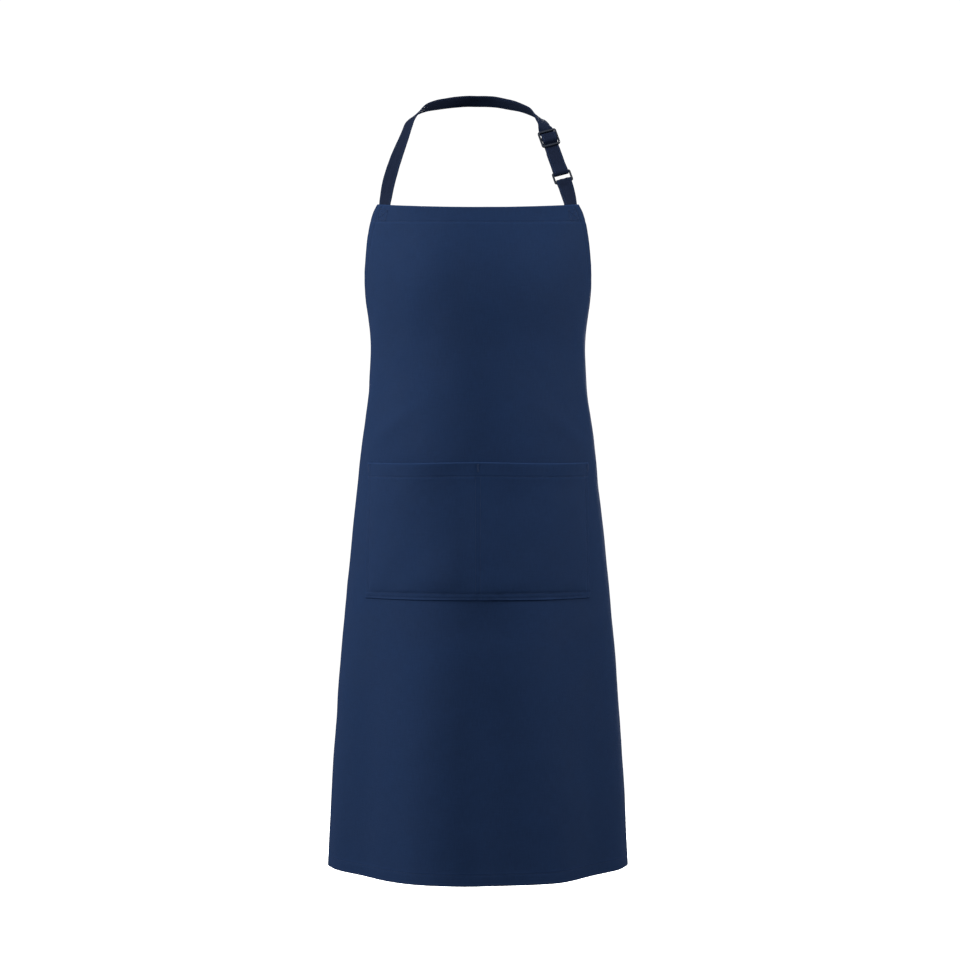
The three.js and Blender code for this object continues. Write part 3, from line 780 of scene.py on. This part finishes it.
def panel_seams():
    """The rows of stitching that show on the panel's front: hems, and both edges of the facings."""
    last = panel_front.shape[1] - 1
    waist = nearest_index(panel_down, WAIST_DOWN)
    top = nearest_index(panel_down, TOP_HEM - SEAM_IN)
    hem = nearest_index(panel_down, PANEL_LENGTH - BOTTOM_HEM + SEAM_IN)
    side = nearest_index(panel_edge, SIDE_HEM - SEAM_IN)
    inner = nearest_index(panel_edge, FACING - SEAM_IN)
    outer = nearest_index(panel_edge, SEAM_IN)
    cuts = [np.s_[top, 2:-2], np.s_[hem, 2:-2]]
    for column in (side, last - side):
        cuts.append(np.s_[waist:-2, column])
    for column in (inner, last - inner, outer, last - outer):
        cuts.append(np.s_[2:waist, column])
    return [(panel_front[cut], panel_normals[cut]) for cut in cuts]


place_piece(sew("panel_topstitching", panel_seams()))

# ---- Pocket ----

pocket_cad = cad_sheet("pocket_panel")
POCKET_DEEP = walked(pocket_cad[:, 0])[-1]
POCKET_HALF = walked(pocket_cad[-1])[-1] / 2
POCKET_SETTLE = 10 * MM  # it falls back to the panel below its mouth, by up to 0.28 of this
DOUBLE_ROWS = (2 * MM, 8 * MM)  # the twin seam round the pocket, from its edge
CENTRE_ROWS = 3 * MM  # the twin seam down its middle, from the centre line
FREE_WIDTH = 30 * MM  # how far from a seam the pocket is quite free of it


def make_pocket():
    down = lines(
        0,
        (2.5 * MM, 0.8 * MM),
        (POCKET_HEM - 5 * MM, 3 * MM),
        (POCKET_HEM + 2 * MM, 0.8 * MM),
        (POCKET_DEEP - 12 * MM, 3.2 * MM),
        (POCKET_DEEP, 1 * MM),
    )
    edge = lines(0, (3 * MM, 0.75 * MM), (7 * MM, 1.3 * MM), (11 * MM, 1 * MM))
    near = lines(0, (CENTRE_ROWS + 3 * MM, 0.75 * MM), (POCKET_HALF - edge[-1], 3.4 * MM))
    shares = np.concatenate([-near[:0:-1], near]) / near[-1]
    knots = walked(pocket_cad[:, 0])
    middle, across = spread_columns(through(pocket_cad, knots, down), edge, shares[1:-1])
    share = across / across[:, -1:]
    across = share * POCKET_HALF
    along = np.broadcast_to(down[:, None], across.shape)
    normals = grid_normals(middle, (0, -1, 0))
    from_mouth, from_foot = along, POCKET_DEEP - along
    from_side = POCKET_HALF - np.abs(across)
    from_seam = np.minimum(from_side, from_foot)
    lobe = np.sin(math.pi * np.abs(share)) ** 1.5
    free = ease(from_seam / FREE_WIDTH) * ease(np.abs(across) / FREE_WIDTH)
    out = drape(across, middle[..., 2])
    height = from_foot / POCKET_DEEP
    out -= POCKET_SETTLE * lobe * (np.sqrt(height) - height**1.1)
    out += free * 1.6 * MM * (0.6 + soft_noise(across, along, 60 * MM, 21.0))
    out -= 0.55 * MM * ease((SEAM_TURN + 4 * MM - from_seam) / (5 * MM)) * ease(along / (15 * MM))
    out -= 0.5 * MM * bell(across / (4 * MM)) * ease(along / (8 * MM))
    middle = middle + normals * out[..., None]
    middle[..., 2] -= 1.8 * MM * lobe * bell(along / (25 * MM))

    layers = np.maximum(2 * within(from_mouth, POCKET_HEM), within(from_seam, SEAM_TURN))
    rows_of_stitches = [(from_mouth, POCKET_HEM - SEAM_IN, 1, 31.0)]
    rows_of_stitches += [(from_side, at, 1, 32.0 + at) for at in DOUBLE_ROWS]
    rows_of_stitches += [(from_foot, at, 1, 34.0 + at) for at in DOUBLE_ROWS]
    rows_of_stitches += [(np.abs(across), CENTRE_ROWS, 1, 36.0)]
    wear_and_highlight = 0.4 * bell(np.minimum(from_mouth, from_seam) / (0.9 * MM))
    # Painted highlight: paler along the band under the mouth where the pocket bows out from the panel,
    # standing in for the light it catches there; the lines above and below are worn edges and the
    # hem's ridge.
    wear_and_highlight += 0.2 * bell((from_mouth - 1 * MM) / (2.5 * MM)) * lobe
    wear_and_highlight += 0.2 * bell((from_mouth - POCKET_HEM) / (1.2 * MM))
    made = sewn_sheet("pocket_cloth", middle, across, along, layers, rows_of_stitches, wear_and_highlight)
    return *made, down, across[0]


pocket, pocket_front, pocket_normals, pocket_down, pocket_across = make_pocket()
place_piece(pocket, nodes=["pocket_panel"])


def pocket_seams():
    """The rows of stitching that show on the pocket: its mouth, its twin seams and its middle."""
    mouth = nearest_index(pocket_down, POCKET_HEM - SEAM_IN)
    cuts = [np.s_[mouth, 1:-1]]
    for at in DOUBLE_ROWS:
        foot = nearest_index(pocket_down, POCKET_DEEP - at)
        left = nearest_index(pocket_across, at - POCKET_HALF)
        right = nearest_index(pocket_across, POCKET_HALF - at)
        cuts += [np.s_[foot, left : right + 1], np.s_[1 : foot + 1, left]]
        cuts += [np.s_[1 : foot + 1, right]]
    for at in (-CENTRE_ROWS, CENTRE_ROWS):
        column = nearest_index(pocket_across, at)
        cuts.append(np.s_[mouth : nearest_index(pocket_down, POCKET_DEEP - DOUBLE_ROWS[0]), column])
    return [(pocket_front[cut], pocket_normals[cut]) for cut in cuts]


place_piece(sew("pocket_topstitching", pocket_seams()))


# ---- Bar tacks and box stitches, laid on the finished cloth ----


def tree_of(obj):
    mesh = obj.data
    polygons = [tuple(p.vertices) for p in mesh.polygons]
    return BVHTree.FromPolygons([v.co for v in mesh.vertices], polygons)


def laid_on(tree, points, outward):
    """Points dropped onto a surface, with the normals there, on the side that faces outward."""
    spots, normals = [], []
    outward = Vector(outward)
    for point in points:
        start = Vector(point) + outward * 8 * MM
        hit, normal, _, _ = tree.ray_cast(start, -outward, 30 * MM)
        if hit is None:
            hit, normal, _, _ = tree.find_nearest(Vector(point))
        spots.append(hit)
        normals.append(normal if normal.dot(outward) > 0 else -normal)
    return np.array(spots, float), np.array(normals, float)


def node_points(node):
    return np.array([v.co for v in frame["nodes"][node].data.vertices], float)


def flat_axes(points):
    """The middle of a flat patch of points, and its directions from the longest to its normal."""
    middle = (points.max(axis=0) + points.min(axis=0)) / 2
    _, _, axes = np.linalg.svd(points - points.mean(axis=0))
    return middle, axes


TACK_THREAD = 0.5 * MM
pocket_tree = tree_of(pocket)


def tack_rungs(node, pitch, lean=0):
    """The stitches of a bar tack, packed side by side along it: each three points across it."""
    points = node_points(node)
    middle, axes = flat_axes(points)
    length, width = np.ptp(points @ axes[0]), np.ptp(points @ axes[1])
    rungs = []
    for at in np.arange(-length / 2, length / 2, pitch):
        rung = [middle + axes[0] * (at + k * lean) + axes[1] * k * width / 2 for k in (-1, 0, 1)]
        rungs.append(np.array(rung))
    return rungs, axes[2], width


def sew_tack(node, seams, width, body="apron"):
    pitch = width * 1.01  # one stitch to a rung
    thread = sew(f"{node}_thread", seams, width, pitch, TACK_THREAD)
    place_piece(thread, body, [node])


def bar_tack(node):
    """A bar tack at the pocket's mouth."""
    rungs, outward, width = tack_rungs(node, 0.42 * MM, lean=0.25 * MM)
    outward = outward if outward[1] < 0 else -outward
    seams = []
    for rung in rungs:
        spots, normals = laid_on(pocket_tree, rung, outward)
        seams.append((spots + normals * 0.22 * MM, normals))
    sew_tack(node, seams, width)


for side in ("left", "centre", "right"):
    bar_tack(f"pocket_bartack_{side}")


BOX_INSET = 0.7 * MM  # a box stitch keeps this far inside its CAD square


def box_lines(node):
    """The sides and diagonals of a box stitch, from its CAD square."""
    points = node_points(node)
    middle, axes = flat_axes(points)
    offsets = (points - middle) @ axes[:2].T
    first = offsets[np.linalg.norm(offsets, axis=1).argmax()]
    first = first * (1 - BOX_INSET * math.sqrt(2) / np.linalg.norm(first))
    quarter = np.array([-first[1], first[0]])
    corners = [first, quarter, -first, -quarter]
    runs = [(corners[i], corners[(i + 1) % 4]) for i in range(4)]
    runs += [(corners[0], corners[2]), (corners[1], corners[3])]
    steps = np.linspace(0, 1, 9)[:, None]
    return [middle + ((1 - steps) * a + steps * b) @ axes[:2] for a, b in runs]


panel_tree = tree_of(panel)


def box_stitch(node):
    """A crossed square of stitches through the panel, where a strap or a tie is sewn on."""
    runs = box_lines(node)
    spot = Vector(np.mean(np.concatenate(runs), axis=0))
    _, normal, _, _ = panel_tree.find_nearest(spot)
    from_axis = Vector((spot.x, spot.y, 0))
    outward = normal if normal.dot(from_axis) > 0 else -normal
    seams = [laid_on(panel_tree, run, outward) for run in runs]
    thread = sew(f"{node}_thread", seams, length=2.3 * MM, pitch=2.45 * MM, width=0.6 * MM)
    place_piece(thread, nodes=[node])


for side in ("left", "right"):
    box_stitch(f"strap_stitch_{side}")
    box_stitch(f"tie_stitch_{side}")


# ---- Straps, ties and facings ----

PLEATS = 2.5  # folds across a tie where it is drawn into the knot


def read_tape(node, grow=(0, 0)):
    """The middle line of a CAD tape, its vectors across and through, made longer at its ends."""
    corners = cad_tape(node)
    a, b, far_b, far_a = corners.transpose(1, 0, 2)
    centre = corners.mean(axis=1)
    across, depth = (b + far_b - a - far_a) / 2, (a + b - far_a - far_b) / 2
    for end, inside in ((0, 1), (-1, -2)):
        if not grow[end]:
            continue
        beyond = centre[end] + unit(centre[end] - centre[inside]) * grow[end]
        at = 0 if end == 0 else len(centre)
        centre = np.insert(centre, at, beyond, axis=0)
        across = np.insert(across, at, across[end], axis=0)
        depth = np.insert(depth, at, depth[end], axis=0)
    return centre, across, depth


class Tape:
    """A flat tape along its CAD route, with stitched edges, and pleats where it is drawn narrower."""

    def __init__(self, node, step=1.6 * MM, grow=(0, 0), seam=1.9 * MM, soft=0.35 * MM, seed=0):
        centre, across, depth = read_tape(node, grow)
        knots = walked(centre)
        self.length = knots[-1]
        at = lines(0, (self.length, step))
        centre = through(centre, knots, at)
        across = through(across, knots, at)
        depth = through(depth, knots, at)
        widths = np.linalg.norm(across, axis=1)
        self.width = widths.max()
        thick = np.median(np.linalg.norm(depth, axis=1))
        near = lines(0, (1.2 * MM, 0.4 * MM), (3.2 * MM, 0.5 * MM), (self.width / 2, 1.5 * MM))
        place = np.concatenate([near - self.width / 2, (self.width / 2 - near)[-2::-1]])
        from_edge = self.width / 2 - np.abs(place)
        share = (widths / self.width)[:, None]
        fold = self.width * share / (math.pi * PLEATS) * np.sqrt(np.maximum(1 / share - 1, 0))
        wave = np.sin(2 * math.pi * PLEATS * place / self.width + 0.7 + 6 * at[:, None])
        tie_in = ease(at / (12 * MM)) * ease((self.length - at) / (12 * MM))
        u, v = np.broadcast_arrays(place[None, :], at[:, None])
        lift = soft * soft_noise(u * 0.5, v, 24 * MM, seed + 0.3) * tie_in[:, None]
        sway = 0.25 * MM * soft_noise(0 * u, v, 15 * MM, seed + 5.1) * tie_in[:, None]
        out = unit(depth)[:, None, :]
        sideways = unit(across)[:, None, :]
        middle = centre[:, None, :] + across[:, None, :] * (place / self.width)[None, :, None]
        middle = middle + out * (fold * wave + lift)[..., None] + sideways * sway[..., None]
        normals = grid_normals(middle, unit(depth)[len(depth) // 2])
        half = np.full(u.shape, thick / 2)
        half -= 0.13 * MM * bell((from_edge - seam) / (0.7 * MM))
        ripple = soft_noise(u, v, 5 * MM, seed + 9.7)
        half += 0.1 * MM * ripple * bell((from_edge - seam) / (3 * MM))
        half *= 1 - 0.12 * bell(from_edge / (0.7 * MM))
        self.front = middle + normals * half[..., None]
        self.back = middle - normals * half[..., None]
        self.normals = normals
        self.flat = np.stack([u, v], axis=-1)
        self.wear_and_highlight = np.broadcast_to(0.7 * bell(from_edge / (0.8 * MM)), u.shape)
        self.columns = [nearest_index(place, s * (self.width / 2 - seam)) for s in (-1, 1)]

    def build(self, name):
        return cloth_object(name, self.front, self.back, self.flat, self.wear_and_highlight, TAPE_CLOTH)

    def seams(self):
        """The rows of stitching along both edges, on both faces."""
        found = []
        for column in self.columns:
            found.append((self.front[:, column], self.normals[:, column]))
            found.append((self.back[:, column], -self.normals[:, column]))
        return found


def add_tape(node, body="apron", held="stretched", rests_on=(), slot="tape", **settings):
    """A tape and its edge stitching; rests_on, what they would ride on, is not used."""
    tape = Tape(node, **settings)
    obj = tape.build(f"{node}_cloth")
    place_piece(obj, body, [node])
    place_piece(sew(f"{node}_topstitching", tape.seams()), body)


def run_ends(node, moving):
    """A run's ends as (fixed end, end at the moving piece), each a point."""
    centre = cad_tape(node).mean(axis=1)
    ends = [Vector(centre[0]), Vector(centre[-1])]
    low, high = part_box(moving)
    middle = (Vector(low) + Vector(high)) / 2
    return tuple(sorted(ends, key=lambda end: -(end - middle).length))


JOIN = 0.6 * MM  # closes the gap between lengths of the same strap
KNOT_REACH = 7 * MM  # how far a tie goes on inside the knot

add_tape("neck_strap", rests_on=["front_panel_cloth"], grow=(JOIN, JOIN), seed=1)
for name, seed in (("strap_upper_run", 2), ("strap_front_run", 3), ("strap_return_run", 4)):
    ends = run_ends(name, "slider")
    add_tape(name, body=ends, rests_on=["slider_moulding"], grow=(JOIN, JOIN), soft=0, seed=seed)
loop = {"held": "folded", "step": 0.8 * MM, "soft": 0}
add_tape("strap_over_bar", body="slider_body", rests_on=["slider_moulding"], seed=5, **loop)
add_tape("strap_end_loop", body="slider_body", rests_on=["slider_moulding"], seed=6, **loop)
add_tape("strap_ring_loop", rests_on=["square_ring_moulding"], seed=7, **loop)
add_tape("ring_tab", rests_on=["front_panel_cloth"], seed=8, held="folded", step=1 * MM, soft=0)

facing = {"held": "folded", "slot": "twill", "seam": 1.8 * MM, "soft": 0}
for side in ("left", "right"):
    add_tape(f"armhole_facing_{side}", rests_on=["front_panel_cloth"], seed=11, **facing)


knot_low, knot_high = (np.array(corner, float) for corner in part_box("bow_knot"))
KNOT = (knot_low + knot_high) / 2
KNOT_HALF = (knot_high - knot_low) / 2


def reach_for_knot(node):
    """How much longer to make each end of a tie: only the end at the knot goes on."""
    centre = cad_tape(node).mean(axis=1)
    near = np.linalg.norm(centre[[0, -1]] - KNOT, axis=1)
    return (KNOT_REACH, 0) if near[0] < near[1] else (0, KNOT_REACH)


tie = {"rests_on": ["bow_knot_cloth"], "step": 2 * MM, "soft": 0.9 * MM}
for side, first_seed in (("left", 20), ("right", 30)):
    lengths = (("waist_tie", "stretched"), ("bow_loop", "gathered"), ("tie_tail", "hung"))
    for seed, (length, held) in enumerate(lengths, first_seed):
        name = f"{length}_{side}"
        add_tape(name, held=held, grow=reach_for_knot(name), seed=seed, **tie)


# ---- Bow knot ----


def make_knot():
    """The tie wrapped once round the middle of the bow, creased where it is pulled tight."""
    around, across = 96, 30
    angle = np.linspace(0, 2 * math.pi, around, endpoint=False)[:, None]
    share = np.linspace(-1, 1, across)[None, :]
    puff = np.power(np.maximum(1 - np.abs(share) ** 2.6, 0), 0.42)
    crease = 0.075 * np.sin(5.0 * math.pi * share + 0.9 * np.sin(angle) + 0.4)
    crease = crease + 0.05 * np.sin(9.0 * share + 2.0 * np.cos(angle + 0.6))
    radius = puff * (0.9 + crease * (1 - share**6)) + 0.02
    noisy = soft_noise(share * 3 + 0 * angle, np.cos(angle) * 2 + 0 * share, 1.0, 44.4)
    radius = radius * (1 + 0.07 * noisy)
    slant = 0.12 * KNOT_HALF[0] * np.cos(angle)
    x = KNOT[0] + share * KNOT_HALF[0] * 0.96 * (1 - 0.05 * np.cos(2 * angle)) + slant * (1 - share**2)
    y = KNOT[1] + radius * KNOT_HALF[1] * np.sin(angle)
    z = KNOT[2] + radius * KNOT_HALF[2] * np.cos(angle)
    points = np.stack(np.broadcast_arrays(x, y, z), axis=-1)
    cell = np.arange(around * across).reshape(around, across)
    on = np.roll(cell, -1, axis=0)
    faces = np.stack([cell[:, :-1], on[:, :-1], on[:, 1:], cell[:, 1:]], axis=-1).reshape(-1, 4)
    faces = faces.tolist() + [cell[:, 0].tolist(), cell[::-1, -1].tolist()]
    obj = mesh_object("bow_knot_cloth", points.reshape(-1, 3), faces, TAPE_CLOTH)
    mesh = bmesh.new()
    mesh.from_mesh(obj.data)
    bmesh.ops.recalc_face_normals(mesh, faces=mesh.faces)
    mesh.to_mesh(obj.data)
    mesh.free()
    flat = np.stack(np.broadcast_arrays(share * 15 * MM, angle * 12 * MM), axis=-1)
    mark_cloth(obj.data, flat.reshape(-1, 2), np.clip(crease * 4, 0, 1).ravel())
    return obj


place_piece(make_knot(), nodes=["bow_knot"])


# ---- Ring, slider and their bar tack ----


VOXEL = 0.34 * MM


def moulded(node):
    """A moulding from its CAD solid, with every edge softened as a mould leaves it."""
    source = frame["nodes"][node]
    obj = link(bpy.data.objects.new(f"{node}_moulding", source.data.copy()))
    remesh = obj.modifiers.new("remesh", "REMESH")
    remesh.mode = "VOXEL"
    remesh.voxel_size = VOXEL
    soften = obj.modifiers.new("soften", "SMOOTH")
    soften.factor = 0.5
    soften.iterations = 5
    graph = bpy.context.evaluated_depsgraph_get()
    obj.data = bpy.data.meshes.new_from_object(obj.evaluated_get(graph))
    obj.modifiers.clear()
    obj.data.materials.clear()
    obj.data.materials.append(PLASTIC)
    obj.data.shade_smooth()
    return obj


place_piece(moulded("square_ring"), "ring", ["square_ring"])
place_piece(moulded("slider"), "slider_body", ["slider"])


def end_tack(node):
    """The dense bar tack that sews the strap's end to itself below the slider."""
    rungs, outward, width = tack_rungs(node, 0.45 * MM)
    normals = np.repeat(outward[None], 3, axis=0)
    sew_tack(node, [(rung, normals) for rung in rungs], width, "slider_body")


end_tack("strap_end_bartack")


# ---- Care label ----


LABEL_THICK = 0.34 * MM
LABEL_IN = 20 * MM  # from the panel's side to the label's outer edge


def make_label():
    """A blank woven label: caught in the side hem along its outer edge, its free edge lifting."""
    cad = cad_sheet("care_label")[:, ::-1]
    down_knots, across_knots = walked(cad[:, 0]), walked(cad[0])
    down = lines(0, (down_knots[-1], 1 * MM))
    across = lines(0, (across_knots[-1], 1 * MM))
    rows = through(cad, down_knots, down)
    middle = through(rows.transpose(1, 0, 2), across_knots, across).transpose(1, 0, 2)
    u, v = np.broadcast_arrays(across[None, :], down[:, None])
    normals = grid_normals(middle, (1, 0, 0))
    free = 1 - u / u.max()
    lift = drape(panel_half(middle[..., 2]) - LABEL_IN - (u.max() - u), middle[..., 2])
    lift = lift - 2.6 * MM * free**2 - 0.5 * MM * free * np.sin(v / (9 * MM))
    middle = middle + normals * lift[..., None]
    normals = grid_normals(middle, (1, 0, 0))
    from_edge = np.minimum(np.minimum(u, u.max() - u), np.minimum(v, v.max() - v))
    wear_and_highlight = bell(from_edge / (1.2 * MM))
    front = middle + normals * LABEL_THICK / 2
    back = middle - normals * LABEL_THICK / 2
    obj = cloth_object("care_label_cloth", front, back, np.stack([u, v], axis=-1), wear_and_highlight, LABEL)
    return obj


place_piece(make_label(), nodes=["care_label"])

# ---- Stage ----


def area_light(name, place, target, size, power):
    data = bpy.data.lights.new(name, "AREA")
    data.shape = "RECTANGLE"
    data.size, data.size_y = size
    data.energy = power
    lamp = link(bpy.data.objects.new(name, data))
    lamp.location = place
    lamp.rotation_euler = (Vector(target) - Vector(place)).to_track_quat("-Z", "Y").to_euler()


FLOOR_HEIGHT, FLOOR_HALF = -1.30, 9


def make_floor():
    """A pale floor that shows white and throws no light back on the cloth."""
    floor_material, shader = make_material("floor", Roughness=0.9, Specular_IOR_Level=0.1)
    cloudy = add_node(floor_material, "TexNoise", {"Scale": 3.0})
    pale = ramp(floor_material, cloudy, (0.0, grey(0.93)), (1.0, grey(0.95)))
    floor_material.node_tree.links.new(pale, shader.inputs["Base Color"])
    shader.inputs["Emission Color"].default_value = grey(1)
    shader.inputs["Emission Strength"].default_value = 0.85
    sides = ((-1, -1), (1, -1), (1, 1), (-1, 1))
    corners = [(x * FLOOR_HALF, y * FLOOR_HALF, FLOOR_HEIGHT) for x, y in sides]
    floor = mesh_object("floor", corners, [(0, 1, 2, 3)], floor_material)
    floor.visible_diffuse = False
    floor.visible_glossy = False


def make_world():
    """White behind the apron, and a much dimmer white that lights it."""
    world = bpy.data.worlds.new("world")
    bpy.context.scene.world = world
    world.use_nodes = True
    tree = world.node_tree
    seen = tree.nodes.new("ShaderNodeLightPath").outputs["Is Camera Ray"]
    amount = tree.nodes.new("ShaderNodeMapRange")
    tree.links.new(seen, amount.inputs["Value"])
    amount.inputs["To Min"].default_value = 0.2
    amount.inputs["To Max"].default_value = 1.05
    tree.links.new(amount.outputs["Result"], tree.nodes["Background"].inputs["Strength"])
    tree.nodes["Background"].inputs["Color"].default_value = (1, 1, 1, 1)


def make_lights():
    """A large key from the wearer's right, fills above and at both sides, and a light behind."""
    area_light("key", (-1.5, -2.2, 0.9), (0, -0.2, -0.35), (1.1, 1.1), 63)
    area_light("near_top", (0.1, -0.9, 0.9), (0, -0.2, -0.3), (0.8, 0.4), 7)
    area_light("left_high", (-2.0, -0.2, 0.3), (0, -0.1, -0.3), (0.5, 0.9), 26)
    area_light("left_strip", (-2.2, -0.1, -0.2), (0, -0.1, -0.4), (0.5, 1.4), 8)
    area_light("right_high", (2.0, -0.4, 0.3), (0, -0.1, -0.3), (0.5, 0.9), 37)
    area_light("back", (0.5, 2.4, 0.3), (0, 0, -0.45), (1.2, 1.4), 110)


make_floor()
make_world()
make_lights()
bpy.context.scene.view_settings.view_transform = "Standard"
